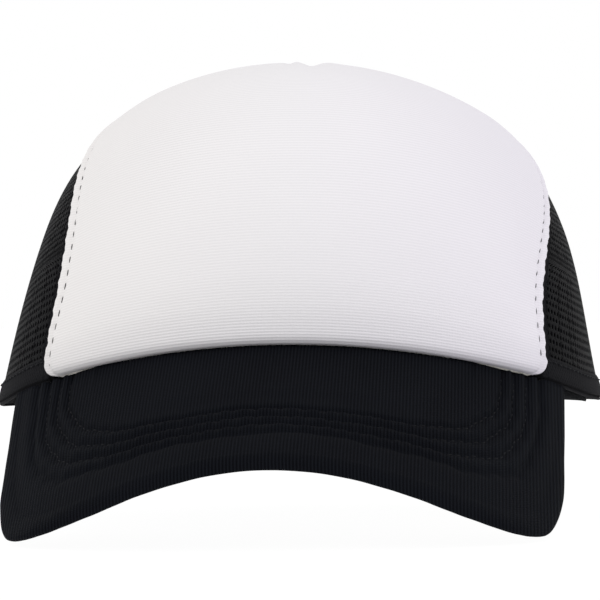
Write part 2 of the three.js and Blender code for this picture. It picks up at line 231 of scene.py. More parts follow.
def stitches(name, lines, pitch, length, width, material, body="cap", thick=0.5):
    """Threads along lines of (points, normals): one small rounded bar for each stitch."""
    V, F, base = [], [], 0
    ring = 6
    for points, normal in lines:
        points = np.asarray(points, float)
        d = lengths(points)
        count = max(int(d[-1] / pitch), 1)
        s = (np.arange(count) + 0.5) * d[-1] / count
        stops = np.array([-0.5, -0.36, 0, 0.36, 0.5])
        lift = np.array([-0.55, 0.15, 0.35, 0.15, -0.55])
        fat = np.array([0.35, 0.9, 1.0, 0.9, 0.35])
        at = s[:, None] + stops * length
        P = np.stack([np.interp(at, d, points[:, k]) for k in range(3)], -1)
        N = np.stack([np.interp(at, d, normal[:, k]) for k in range(3)], -1)
        N /= np.linalg.norm(N, axis=-1, keepdims=True)
        T = np.gradient(P, axis=1)
        T /= np.linalg.norm(T, axis=-1, keepdims=True)
        B = np.cross(N, T)
        a = np.linspace(0, 2 * pi, ring, endpoint=False)
        C = P + N * (lift * width * thick)[None, :, None]
        R = C[:, :, None] + (
            B[:, :, None] * np.cos(a)[None, None, :, None] + N[:, :, None] * np.sin(a)[None, None, :, None]
        ) * (fat * width / 2)[None, :, None, None]
        k = R.shape[1] * ring
        V.append(R.reshape(-1, 3))
        tube = ring_faces(R.shape[1], ring)
        for i in range(count):
            o = base + i * k
            F.extend((tube + o).tolist())
            F.append([o + q for q in range(ring)][::-1])
            F.append([o + k - ring + q for q in range(ring)])
        base += count * k
    return piece(name, np.concatenate(V), F, material, body)


# ---------------------------------------------------------------- materials
def lin(r, g, b):
    f = lambda c: c / 12.92 if c <= 0.04045 else ((c + 0.055) / 1.055) ** 2.4
    return (f(r / 255), f(g / 255), f(b / 255), 1)


class Nodes:
    """Short names for the shader nodes that the materials use."""

    def __init__(self, name, roughness, sheen=0.0, specular=0.5, sheen_roughness=0.5, metallic=0.0, coat=0.0):
        self.material = bpy.data.materials.new(name)
        self.material.use_nodes = True
        self.tree = self.material.node_tree
        self.shader = self.tree.nodes["Principled BSDF"]
        s = self.shader.inputs
        s["Roughness"].default_value = roughness
        s["Specular IOR Level"].default_value = specular
        s["Sheen Weight"].default_value = sheen
        s["Sheen Roughness"].default_value = sheen_roughness
        s["Metallic"].default_value = metallic
        s["Coat Weight"].default_value = coat
        self.height = None

    def node(self, kind, **values):
        n = self.tree.nodes.new(kind)
        for key, value in values.items():
            setattr(n, key, value)
        return n

    def link(self, a, b):
        self.tree.links.new(a, b)

    def put(self, socket, value):
        if hasattr(value, "is_linked"):
            self.link(value, socket)
        else:
            socket.default_value = value

    def math(self, op, a, b=0.0, c=0.0):
        n = self.node("ShaderNodeMath", operation=op)
        for i, v in enumerate((a, b, c)):
            self.put(n.inputs[i], v)
        return n.outputs[0]

    def uv(self):
        n = self.node("ShaderNodeUVMap", uv_map="UVMap")
        return n.outputs[0]

    def place(self):
        return self.node("ShaderNodeTexCoord").outputs["Object"]

    def scaled(self, vector, x, y, z=1.0, turn=0.0):
        n = self.node("ShaderNodeMapping")
        n.inputs["Scale"].default_value = (x, y, z)
        n.inputs["Rotation"].default_value = (0, 0, turn)
        self.link(vector, n.inputs["Vector"])
        return n.outputs[0]

    def noise(self, vector, scale, detail=2.0, rough=0.5):
        n = self.node("ShaderNodeTexNoise")
        n.inputs["Scale"].default_value = scale
        n.inputs["Detail"].default_value = detail
        n.inputs["Roughness"].default_value = rough
        self.link(vector, n.inputs["Vector"])
        return n.outputs["Fac"]

    def wave(self, vector, direction, scale, distortion=0.0, detail_scale=1.0, profile="SIN"):
        n = self.node("ShaderNodeTexWave", bands_direction=direction, wave_profile=profile)
        n.inputs["Scale"].default_value = scale
        n.inputs["Distortion"].default_value = distortion
        n.inputs["Detail Scale"].default_value = detail_scale
        n.inputs["Detail"].default_value = 1
        self.link(vector, n.inputs["Vector"])
        return n.outputs["Fac"]

    def ramp(self, fac, *stops):
        n = self.node("ShaderNodeValToRGB")
        e = n.color_ramp.elements
        while len(e) < len(stops):
            e.new(0.5)
        for k, (at, colour) in zip(e, stops):
            k.position, k.color = at, colour
        self.link(fac, n.inputs[0])
        return n.outputs[0]

    def mix(self, fac, a, b, blend="MIX"):
        n = self.node("ShaderNodeMix", data_type="RGBA", blend_type=blend)
        self.put(n.inputs[0], fac)
        self.put(n.inputs[6], a)
        self.put(n.inputs[7], b)
        return n.outputs[2]

    def colour(self, value):
        self.put(self.shader.inputs["Base Color"], value)

    def rough(self, value):
        self.put(self.shader.inputs["Roughness"], value)

    def bump(self, height, distance, strength=1.0):
        """Adds a bump of that many metres over any that is there."""
        n = self.node("ShaderNodeBump")
        n.inputs["Strength"].default_value = strength
        n.inputs["Distance"].default_value = distance
        self.link(height, n.inputs["Height"])
        if self.height:
            self.link(self.height, n.inputs["Normal"])
        self.height = n.outputs[0]
        self.link(self.height, self.shader.inputs["Normal"])


WAVE_UNIT = 20.0  # the wave texture turns through this many radians over one unit at scale 1


def waves_per(pitch_mm):
    """The wave texture's scale that repeats each pitch_mm, over coordinates in metres."""
    return 2 * pi / (pitch_mm * MM) / WAVE_UNIT


def white_knit():
    m = Nodes("white_knit", 0.9, sheen=0.06, specular=0.12, sheen_roughness=0.6)
    uv = m.uv()
    rows = m.wave(uv, "Y", waves_per(0.85), distortion=0.25, detail_scale=3)
    wales = m.wave(uv, "X", waves_per(0.75))
    weave = m.math("MULTIPLY_ADD", wales, 0.12, m.math("MULTIPLY", rows, 1.0))
    part = m.node("ShaderNodeSeparateXYZ")
    m.link(uv, part.inputs[0])
    # The rows of the knit show most near the bill
    low = m.math("MULTIPLY_ADD", part.outputs[1], -38.0, 1.1)
    low = m.math("MINIMUM", m.math("MAXIMUM", low, 0.3), 1.0)
    weave = m.math("MULTIPLY", weave, low)
    fine = m.noise(uv, 2600, 2)
    broad = m.noise(uv, 22, 3)
    # Painted shade: the panel's colour is painted darker and more lavender towards its +X side, the side away
    # from the key light.
    side = m.node("ShaderNodeSeparateXYZ")
    m.link(m.place(), side.inputs[0])
    across = m.math("MULTIPLY_ADD", side.outputs[0], 6.0, 0.5)
    side_shaded_colour = m.ramp(
        across, (0.0, lin(230, 227, 225)), (0.5, lin(229, 227, 229)), (1.0, lin(225, 221, 229))
    )
    grain = m.math("MULTIPLY_ADD", fine, 0.35, m.math("MULTIPLY", broad, 0.3))
    grain = m.math("MULTIPLY_ADD", rows, 0.35, grain)
    shade = m.ramp(grain, (0.2, (0.90, 0.90, 0.905, 1)), (0.75, (1, 1, 1, 1)))
    side_shaded_colour = m.mix(1.0, side_shaded_colour, shade, "MULTIPLY")
    # Painted shade: the lowest 12 mm are painted darker towards the seam with the bill, where the cloth rolls
    # under into shade
    edge = m.ramp(
        m.math("MULTIPLY", part.outputs[1], 50.0),
        (0.0, (0.72, 0.72, 0.74, 1)), (0.12, (0.90, 0.90, 0.91, 1)), (0.6, (1, 1, 1, 1)),
    )
    m.colour(m.mix(1.0, side_shaded_colour, edge, "MULTIPLY"))
    m.bump(weave, 0.00012, 0.55)
    m.bump(fine, 0.00008, 0.4)
    m.bump(broad, 0.0010, 0.25)
    return m.material


def foam():
    m = Nodes("white_foam", 0.95, sheen=0.15, specular=0.15)
    p = m.place()
    cells = m.node("ShaderNodeTexVoronoi")
    cells.inputs["Scale"].default_value = 1100
    m.link(p, cells.inputs["Vector"])
    m.colour(m.ramp(cells.outputs["Distance"], (0.0, lin(198, 195, 186)), (0.6, lin(232, 229, 222))))
    m.bump(cells.outputs["Distance"], 0.0003, 0.6)
    return m.material


def black_knit():
    m = Nodes("black_knit", 0.9, sheen=0.0, specular=0.02, sheen_roughness=0.5)
    uv = m.uv()
    ribs = m.wave(uv, "X", waves_per(0.95), distortion=0.35, detail_scale=4)
    rows = m.wave(uv, "Y", waves_per(0.7), distortion=0.2)
    fine = m.noise(uv, 2400, 2)
    broad = m.noise(uv, 30, 3)
    grain = m.math("MULTIPLY_ADD", ribs, 0.4, m.math("MULTIPLY_ADD", fine, 0.3, m.math("MULTIPLY", broad, 0.3)))
    m.colour(m.ramp(grain, (0.2, lin(6, 6, 9)), (0.8, lin(22, 24, 29))))
    m.rough(m.math("MULTIPLY_ADD", fine, 0.2, 0.72))
    weave = m.math("MULTIPLY_ADD", rows, 0.4, ribs)
    m.bump(weave, 0.00018, 0.9)
    m.bump(fine, 0.00010, 0.5)
    m.bump(broad, 0.0008, 0.25)
    return m.material


def black_mesh():
    m = Nodes("black_mesh", 0.5, sheen=0.0, specular=0.03)
    p = m.place()
    fibres = m.noise(m.scaled(p, 1, 1, 0.35), 3200, 2)
    broad = m.noise(p, 60, 2)
    fac = m.math("MULTIPLY_ADD", fibres, 0.6, m.math("MULTIPLY", broad, 0.4))
    r, g, b = 10, 10, 12
    m.colour(m.ramp(fac, (0.3, lin(r * 0.6, g * 0.6, b * 0.6)), (0.75, lin(r * 1.5, g * 1.5, b * 1.5))))
    m.rough(m.math("MULTIPLY_ADD", fibres, 0.25, 0.42))
    m.bump(fibres, 0.0002, 0.8)
    return m.material


def tape(name, colour, pitch=0.6):
    m = Nodes(name, 0.8, sheen=0.0, specular=0.04)
    uv = m.uv()
    a = m.wave(m.scaled(uv, 1, 1, 1, radians(45)), "X", waves_per(pitch))
    b = m.wave(m.scaled(uv, 1, 1, 1, radians(-45)), "X", waves_per(pitch))
    weave = m.math("MAXIMUM", a, b)
    fine = m.noise(uv, 2000, 2)
    r, g, b = colour
    m.colour(m.ramp(m.math("MULTIPLY_ADD", weave, 0.6, m.math("MULTIPLY", fine, 0.4)),
                    (0.2, lin(r * 0.6, g * 0.6, b * 0.6)), (0.85, lin(r, g, b))))
    m.bump(weave, 0.00015, 0.8)
    m.bump(fine, 0.0001, 0.4)
    return m.material


def plastic():
    m = Nodes("black_plastic", 0.38, specular=0.25)
    p = m.place()
    fine = m.noise(p, 1800, 3)
    broad = m.noise(p, 90, 3)
    m.colour(m.ramp(broad, (0.3, lin(10, 10, 12)), (0.7, lin(18, 18, 20))))
    m.rough(m.math("MULTIPLY_ADD", broad, 0.2, 0.28))
    m.bump(fine, 0.00005, 0.6)
    return m.material


def thread():
    m = Nodes("thread", 0.6, specular=0.06)
    p = m.place()
    twist = m.noise(p, 4200, 2)
    m.colour(m.ramp(twist, (0.3, lin(8, 8, 10)), (0.8, lin(32, 33, 38))))
    m.bump(twist, 0.0001, 0.8)
    return m.material


def steel():
    m = Nodes("steel", 0.35, metallic=1.0)
    p = m.place()
    brushed = m.noise(m.scaled(p, 1, 1, 12), 900, 2)
    m.colour(m.ramp(brushed, (0.3, lin(150, 152, 155)), (0.7, lin(200, 202, 205))))
    m.rough(m.math("MULTIPLY_ADD", brushed, 0.2, 0.25))
    return m.material


def board():
    m = Nodes("board_plastic", 0.6)
    p = m.place()
    n = m.noise(p, 400, 3)
    m.colour(m.ramp(n, (0.3, lin(140, 140, 136)), (0.7, lin(160, 160, 156))))
    return m.material


WHITE = white_knit()
FOAM = foam()
KNIT = black_knit()
MESH = black_mesh()
HEM = tape("mesh_fold", (24, 24, 27), 1.1)
TAPE = tape("black_tape", (24, 24, 27))
BAND = tape("band_cloth", (24, 25, 29), 0.8)
LABEL = tape("white_label", (236, 236, 232), 0.5)
PLASTIC = plastic()
THREAD = thread()
STEEL = steel()
BOARD = board()

# ---------------------------------------------------------------- front panel
PUFF = 2.4  # how far the foam stands out, in the open
EDGE_STITCH = 3.6  # the topstitching's distance in from the panel's edge
CROWN_TOP = 0.972  # the panels stop here, round the button's shank


def front_limits(t, height):
    """The panel's edge as phi, and the inset in mm that rounds its lower corner."""
    seam = front_seam(t)
    r = 5.0
    low = np.clip(r - height, 0, r)
    inset = r - np.sqrt(r * r - low * low)
    return seam, inset


def everywhere(phi, t):
    return np.ones(np.shape(phi), bool)


def declare_cut(left, right, keep, top, side=1):
    """Work out a crown panel's flat cloth: its length up the centre line and its width at each row. Nothing is
    kept or returned.
    """
    t, h = heights(lambda t: side * (left(t) + right(t)) / 2, top=top)
    share = np.linspace(0, 1, 61)
    T, S = np.meshgrid(t, share, indexing="ij")
    phi = left(T) + (right(T) - left(T)) * S
    step = np.linalg.norm(np.diff(surface(side * phi, T), axis=1), axis=2)
    cut = (step * keep((phi[:, 1:] + phi[:, :-1]) / 2, T[:, 1:])).sum(1)


def front_panel():
    rows, cols = 190, 230
    t_line, h_line = heights(np.zeros_like, top=CROWN_TOP)
    # Rows crowd towards the seam with the bill, where the knit rolls under
    b = np.linspace(0, 1, rows) ** 1.15
    t = b * CROWN_TOP
    a = np.linspace(-1, 1, cols)
    a = np.sign(a) * (1 - (1 - np.abs(a)) ** 1.35)
    A, T = np.meshgrid(a, t)
    seam_t, seam_h = heights(front_seam, top=CROWN_TOP)
    height = np.interp(T, seam_t, seam_h)
    seam, inset = front_limits(T, height)
    hand = np.sign(A)
    wiggle = 0.28 * np.sin(height * 0.9 + hand * 1.3) + 0.2 * np.sin(height * 2.3 + 0.7) * hand
    wiggle = wiggle * smooth(0, 6, height) * smooth(0.93, 0.75, T)
    limit = seam - (inset + 0.25 + wiggle) / mm_per_phi(seam, T)
    phi = A * limit
    e = (limit - np.abs(phi)) * mm_per_phi(phi, T)  # mm in from the cut edge
    low = np.interp(T, t_line, h_line)  # mm up from the bill
    stitch_in = EDGE_STITCH * (0.62 + 0.38 * smooth(4, 30, height))
    puff = PUFF + 0.7 * smooth(4, 22, e) * smooth(2, 20, low) - 1.5 * smooth(0.5, 0.85, T)
    dent = 0.75 * np.exp(-(((e - stitch_in) / 1.1) ** 2)) * smooth(0.95, 0.85, T)
    pull = 0.12 * np.cos(height * 2 * pi / 4.0) * np.exp(-(((e - stitch_in) / 2.2) ** 2))
    roll = 1 - np.sqrt(np.clip(1 - (1 - np.clip(e / 0.9, 0, 1)) ** 2, 0, 1))
    under = 1 - np.sqrt(np.clip(1 - (1 - np.clip(low / 3.2, 0, 1)) ** 2, 0, 1))
    # Where the button holds the foam down, it is pinched in front
    x0 = 6.9
    P0 = surface(phi, T)
    reach = smooth(-72, -42, P0[..., 1])
    aside = P0[..., 0] - x0
    notch = (1.15 * np.exp(-((aside / 2.5) ** 2)) + 0.45 * np.exp(-(((aside + 6.6) / 1.3) ** 2))) * reach
    lump = 0.3 * np.exp(-(((aside + 4.6) / 1.2) ** 2)) + 0.2 * np.exp(-(((aside - 5) / 3) ** 2))
    lump = lump * reach
    outer_h = puff - dent + pull - roll * 0.8 - under * 2.0 - notch + lump
    outer = crown(phi, T, outer_h)
    inner = crown(phi, T, np.minimum(outer_h - 0.45, puff - 1.3 - under * 1.4 - notch))
    verts, faces = shell(outer, inner)
    uv = np.stack([phi * 78, low], -1) * MM
    uv = np.concatenate([uv.reshape(-1, 2)] * 2)
    cloth = piece("front_panel_cloth", verts, faces, WHITE, uv=uv)
    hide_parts("front_panel_face")
    declare_cut(lambda t: -front_seam(t), front_seam, everywhere, CROWN_TOP)

    step = 3
    phi2, T2 = phi[::step, ::step] * 0.995, T[::step, ::step]
    o2 = crown(phi2, T2, (puff - 1.5 - under * 1.4 - notch)[::step, ::step])
    i2 = crown(phi2, T2, -1.8)
    verts, faces = shell(o2, i2)
    core = piece("front_panel_foam_pad", verts, faces, FOAM)
    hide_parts("front_panel_foam")

    lines = []
    for side in (1, -1):
        tt = np.linspace(0.004, 0.9, 260)
        hh = np.interp(tt, seam_t, seam_h)
        s, inset = front_limits(tt, hh)
        into = EDGE_STITCH * (0.62 + 0.38 * smooth(4, 30, hh)) + inset + 0.25
        into = into + 5 * (1 - smooth(0, 5, hh)) ** 2  # the row turns in along the bill at the corner
        ph = side * (s - into / mm_per_phi(s, tt))
        lines.append((crown(ph, tt, PUFF + 0.7 * smooth(4, 22, into) - 0.75), normals(ph, tt)))
    stitches("front_panel_topstitch", lines, 4.0, 2.3, 0.28, THREAD)


front_panel()

# ---------------------------------------------------------------- mesh panels
PITCH_U, PITCH_V = 2.35, 2.35  # between holes along a row, and between rows
HOLE = 0.46  # a hole's width as a share of its cell
MESH_TOP = 0.985
BELOW_RIM = -1.0  # cells further down than this, in mm, are left out


def net(name, node, side, left, right, keep):
    """A panel of open mesh. left and right give the panel's edges as phi at t, and keep(phi, t)
    is false in a cut-out."""
    centre = lambda t: (left(t) + right(t)) / 2
    line_t, line_h = heights(centre, top=MESH_TOP)
    top = line_h[-1]
    rows = int(top / PITCH_V) + 3
    # Cells of a six-sided lattice, v up the panel and u along it
    cells = []
    index = {}
    verts_uv, faces = [], []

    def vertex(u, v):
        key = (round(u * 50), round(v * 50))
        if key not in index:
            index[key] = len(verts_uv)
            verts_uv.append((u, v))
        return index[key]

    for r in range(-1, rows):
        v = r * PITCH_V
        t = float(np.interp(min(max(v, 0), top), line_h, line_t))
        c = float(centre(t))
        k = float(mm_per_phi(c, t))
        lo = (float(left(t)) - c) * k
        hi = (float(right(t)) - c) * k
        shift = 0.5 * PITCH_U * (r % 2)
        i0, i1 = int((lo - shift) / PITCH_U) - 2, int((hi - shift) / PITCH_U) + 3
        for i in range(i0, i1):
            cells.append((i * PITCH_U + shift, v))
    du, dv = PITCH_U / 2, PITCH_V / 2
    point, shoulder = dv * 1.33, dv * 0.67
    ring = [(0, -point), (du, -shoulder), (du, shoulder), (0, point), (-du, shoulder), (-du, -shoulder)]
    cells = np.array(cells)
    # In the row frame: u is measured from the centre line
    def place(uv):
        t = np.interp(np.clip(uv[:, 1], 0, top), line_h, line_t)
        c = centre(t)
        phi = c + uv[:, 0] / mm_per_phi(c, t)
        return phi, t

    phi_c, t_c = place(cells)
    slack = 0.45 * PITCH_U / mm_per_phi(phi_c, t_c)
    inside = (phi_c > left(t_c) - slack) & (phi_c < right(t_c) + slack) & keep(phi_c, t_c)
    inside &= (cells[:, 1] > BELOW_RIM) & (cells[:, 1] < top - 0.5)
    for u, v in cells[inside]:
        outer = [vertex(u + a, v + b) for a, b in ring]
        inner = [vertex(u + a * HOLE + 1e-4, v + b * HOLE * 0.94) for a, b in ring]
        for q in range(6):
            p = (q + 1) % 6
            faces.append((outer[q], outer[p], inner[p], inner[q]))
    uv = np.array(verts_uv)
    phi, t = place(uv)
    phi = np.clip(phi, left(t), right(t))
    P = crown(side * phi, t, -0.35)
    faces = np.array(faces)
    if side > 0:
        faces = faces[:, ::-1]
    # Faces that the clamping squeezed flat go
    a = P[faces]
    area = np.linalg.norm(np.cross(a[:, 2] - a[:, 0], a[:, 3] - a[:, 1]), axis=1)
    faces = faces[area > 0.02]
    used = np.unique(faces)
    remap = np.zeros(len(P), int)
    remap[used] = np.arange(len(used))
    obj = piece(name, P[used], remap[faces], MESH)
    mod = obj.modifiers.new("thickness", "SOLIDIFY")
    mod.thickness = 0.55 * MM
    mod.offset = 0
    sub = obj.modifiers.new("round", "SUBSURF")
    sub.levels = sub.render_levels = 1
    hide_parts(node)
    declare_cut(left, right, keep, MESH_TOP, side)


def arch(half, top, n):
    """The rear opening's edge: phi and t along an arch over phi = 180 degrees."""
    s = np.linspace(0, pi, n)
    return pi - radians(half) * np.cos(s), top * np.sin(s)


def outside_arch(half, top):
    def keep(phi, t):
        q = (np.abs(pi - phi) / radians(half)) ** 2 + (t / top) ** 2
        return q > 1.0
    return keep


def back(t):
    return np.full(np.shape(t), pi) - 0.3 / 60


for word, side in (("left", 1), ("right", -1)):
    net(f"{word}_side_mesh", f"{word}_side_mesh_panel", side, front_seam, side_seam, everywhere)
    net(f"{word}_rear_mesh", f"{word}_rear_mesh_panel", side, side_seam, back, outside_arch(29, 0.345))

# ---------------------------------------------------------------- folds, tapes and bindings on the crown
def strip_on_crown(name, phi, t, profile, material):
    """A band of that section laid along a line of the crown. profile is (across, out) pairs in mm."""
    path = crown(phi, t, 0)
    n = normals(phi, t)
    verts, faces, caps = sweep(path, n, profile)
    d = lengths(path)
    round_ = lengths(profile)
    uv = np.stack(np.meshgrid(round_, d), -1).reshape(-1, 2) * MM
    return piece(name, verts, faces.tolist() + caps, material, uv=uv)


def band_section(width, low, high, edge=0.35, waves=None):
    """A flat rounded section from -width/2 to width/2, between two heights."""
    w = width / 2
    m = (low + high) / 2
    inner = np.linspace(-w + 2 * edge, w - 2 * edge, 9)
    top = [(-w + edge, high), *[(x, high + (waves(x) if waves else 0)) for x in inner], (w - edge, high)]
    return [(-w, m), *top, (w, m), (w - edge, low), (-w + edge, low)]


def seam_row(phi, t, aside, out):
    """A row of stitches beside a line of the crown."""
    p = crown(phi, t, 0)
    tangent = np.gradient(p, axis=0)
    tangent /= np.linalg.norm(tangent, axis=1, keepdims=True)
    n = normals(phi, t)
    side = np.cross(n, tangent)
    return p + side * aside + n * out, n


def crown_seams():
    groove = lambda x: -0.35 * np.exp(-((x / 0.7) ** 2)) + 0.12 * np.exp(-(((abs(x) - 1.6) / 0.9) ** 2))
    rows = []
    for word, side in (("left", 1), ("right", -1)):
        t = np.linspace(0.0, 0.968, 90)
        phi = side * side_seam(t)
        strip_on_crown(f"{word}_side_seam_fold", phi, t, band_section(7.0, -0.2, 0.45, waves=groove), HEM)
        rows += [seam_row(phi, t, a, 0.62) for a in (-2.2, 2.2)]
        # Folded edge of the mesh beside the front panel
        t = np.linspace(0.0, 0.95, 90)
        phi = side * (front_seam(t) + 2.0 / mm_per_phi(front_seam(t), t))
        lumpy = lambda x: 0.25 * np.cos(x * 2.2)
        strip_on_crown(f"{word}_front_seam_fold", phi, t, band_section(5.0, -0.25, 0.55, waves=lumpy), HEM)
    t = np.linspace(0.33, 0.968, 60)
    phi = np.full(60, pi)
    strip_on_crown("centre_back_seam_fold", phi, t, band_section(7.0, -0.2, 0.45, waves=groove), HEM)
    rows += [seam_row(phi, t, a, 0.62) for a in (-2.2, 2.2)]
    stitches("crown_seam_topstitch", rows, 3.2, 2.3, 0.42, THREAD)

    # Tapes inside
    inside = []
    for word, side in (("left", 1), ("right", -1)):
        for where, seam in (("front", front_seam), ("rear", side_seam)):
            t = np.linspace(0.02, 0.9, 80)
            phi = side * seam(t)
            o = strip_on_crown(f"{word}_{where}_tape", phi, t, band_section(13.6, -3.4, -2.8), TAPE)
            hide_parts(f"{word}_{where}_seam_tape")
            inside += [seam_row(phi, t, a, -3.5) for a in (-5.3, 5.3)]
    t = np.linspace(0.42, 0.9, 60)
    o = strip_on_crown("centre_back_tape", np.full(60, pi), t, band_section(10.4, -3.4, -2.8), TAPE)
    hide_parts("centre_back_seam_tape")
    inside += [seam_row(np.full(60, pi), t, a, -3.5) for a in (-4.0, 4.0)]
    inside = [(p, -n) for p, n in inside]
    stitches("tape_stitches", inside, 3.2, 2.3, 0.42, THREAD)


crown_seams()


def rim_hem():
    """The mesh's folded lower edge, from the front panel round to the rear opening on each side."""
    rows = []
    for word, side in (("left", 1), ("right", -1)):
        start, end = 49.5, 151.0
        n = 150
        phi = side * np.radians(np.linspace(start, end, n))
        section = []
        # Up the outside, over the top edge and down inside, then round the fold
        for t, off in (
            (0.0, 0.6), (0.010, 0.7), (0.022, 0.65), (0.034, 0.5),
            (0.040, 0.1), (0.036, -1.2), (0.02, -1.4), (0.0, -1.4),
        ):
            section.append(crown(phi, np.full(n, t), off))
        z = crown(phi, np.zeros(n), 0)
        nrm = normals(phi, np.zeros(n))
        down = np.array([0, 0, -1.0])
        for ang in (-35, -70, -110, -145):
            r = radians(ang)
            section.append(z + nrm * (-0.42 + 0.95 * cos(r)) + down * -sin(r))
        ring = np.stack(section, 1)
        k = ring.shape[1]
        faces = ring_faces(n, k)
        if side > 0:
            faces = faces[:, ::-1]
        caps = [list(range(k)), list(range(n * k - 1, (n - 1) * k - 1, -1))]
        if side < 0:
            caps = [c[::-1] for c in caps]
        d = lengths(z)
        w = np.arange(k) * 1.6
        uv = np.stack(np.meshgrid(w, d), -1).reshape(-1, 2) * MM
        piece(f"{word}_rim_hem", ring.reshape(-1, 3), faces.tolist() + caps, HEM, uv=uv)
        t = np.full(n, 0.030)
        rows.append((crown(phi, t, 0.72), normals(phi, t)))
    stitches("rim_topstitch", rows, 3.2, 2.3, 0.42, THREAD)


rim_hem()


def sweatband():
    end = radians(139)
    n = 240
    phi = np.linspace(-end, end, n)
    ring = []
    for t, off in (
        (0.004, -4.2), (0.05, -4.15), (0.1, -4.2), (0.16, -4.2), (0.172, -4.6), (0.168, -5.3),
        (0.12, -5.6), (0.07, -5.7), (0.03, -5.5), (0.002, -5.2), (-0.004, -4.7),
    ):
        tt = np.full(n, max(t, 0.0))
        p = crown(phi, tt, off)
        if t < 0:
            p = p + np.array([0, 0, -0.5])
        ring.append(p)
    ring = np.stack(ring, 1)
    k = ring.shape[1]
    faces = ring_faces(n, k)[:, ::-1]
    caps = [list(range(k)), list(range(n * k - 1, (n - 1) * k - 1, -1))]
    d = lengths(ring[:, 0])
    uv = np.stack(np.meshgrid(np.arange(k) * 3.0, d), -1).reshape(-1, 2) * MM
    o = piece("sweatband_cloth", ring.reshape(-1, 3), faces.tolist() + caps, BAND, uv=uv)
    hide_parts("sweatband")
    rows = []
    for t in (0.02, 0.15):
        tt = np.full(n, t)
        rows.append((crown(phi, tt, -5.75), -normals(phi, tt)))
    stitches("sweatband_topstitch", rows, 3.4, 2.5, 0.42, THREAD)


sweatband()


def rear_binding():
    n = 170
    mid = (29.7 + 26) / 2
    top = (0.354 + 0.315) / 2
    phi, t = arch(mid, top, n)
    section = band_section(6.4, -1.5, 0.6, edge=0.6, waves=lambda x: 0.12 * cos(x))
    path = crown(phi, t, 0)
    nrm = normals(phi, t)
    verts, faces, caps = sweep(path, nrm, section)
    d = lengths(path)
    s = np.asarray(section)
    w = lengths(s)
    uv = np.stack(np.meshgrid(w, d), -1).reshape(-1, 2) * MM
    o = piece("rear_opening_tape", verts, faces.tolist() + caps, TAPE, uv=uv)
    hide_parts("rear_opening_binding")
    rows = [seam_row(phi, t, a, 0.75) for a in (-2.3, 2.3)]
    stitches("rear_opening_topstitch", rows, 3.2, 2.3, 0.42, THREAD)


rear_binding()

# ---------------------------------------------------------------- bill
BILL_W, CORNER_Y, REACH, BILL_SQUARE = 82.2, -65.0, 100.7, 2.8
PITCH_DOWN, PITCH_GAIN, SPAN = 23.8, 9.6, 62.0
TUCK, DROP = 0.972, 0.8
THICK = 4.6
FIELD = 27.0  # how far in from the side edge the stitched border ends
ROWS_IN = (8.2, 11.8, 15.4, 19.0)  # stitched rows, in mm from the bill's side edge


def front_inset(e):
    """The rows lie further in from the bill's front edge than from its sides."""
    return np.interp(e, [0, 3.2, 8.2, 19.0, 27.0], [0, 3.2, 15.8, 30.0, 38.0])


def rim_y(x):
    return -HALF_L * (1 - np.minimum(np.abs(x / HALF_W), 1) ** SQUARE) ** (1 / SQUARE)


def bill_z(x, y):
    pitch = np.radians(PITCH_DOWN + PITCH_GAIN * (x / 75) ** 2)
    return RISE - DROP - RISE_FALL * x * x - np.tan(pitch) * (rim_y(x) - y)


def bill_plan(psi, inset, d):
    """Plan point: psi along the edge, inset mm in from it, then share 1 - d of the way to the crown.
    Every row runs on at its ends until it goes under the crown's rim."""
    p = 2 / BILL_SQUARE
    reach = np.arcsin(((BILL_W - FIELD) / HALF_W) ** (SQUARE / 2))
    rx, ry, _ = rim(psi * reach / (pi / 2))
    half = BILL_W - inset
    ox = half * power(np.sin(psi), p)
    oy = CORNER_Y - (REACH - front_inset(inset)) * np.abs(np.cos(psi)) ** p
    oy = oy + (rim_y(half) + 3.6 - CORNER_Y) * smooth(radians(60), radians(90), np.abs(psi))
    return rx * TUCK + (ox - rx * TUCK) * d, ry * TUCK + (oy - ry * TUCK) * d


def bill_surface(psi, inset, d, depth):
    x, y = bill_plan(psi, inset, d)
    e = 0.05
    sx = (bill_z(x + e, y) - bill_z(x - e, y)) / (2 * e)
    sy = (bill_z(x, y + e) - bill_z(x, y - e)) / (2 * e)
    n = np.stack([-sx, -sy, np.ones_like(sx)], -1)
    n /= np.linalg.norm(n, axis=-1, keepdims=True)
    return np.stack([x, y, bill_z(x, y)], -1) - n * np.asarray(depth)[..., None], n


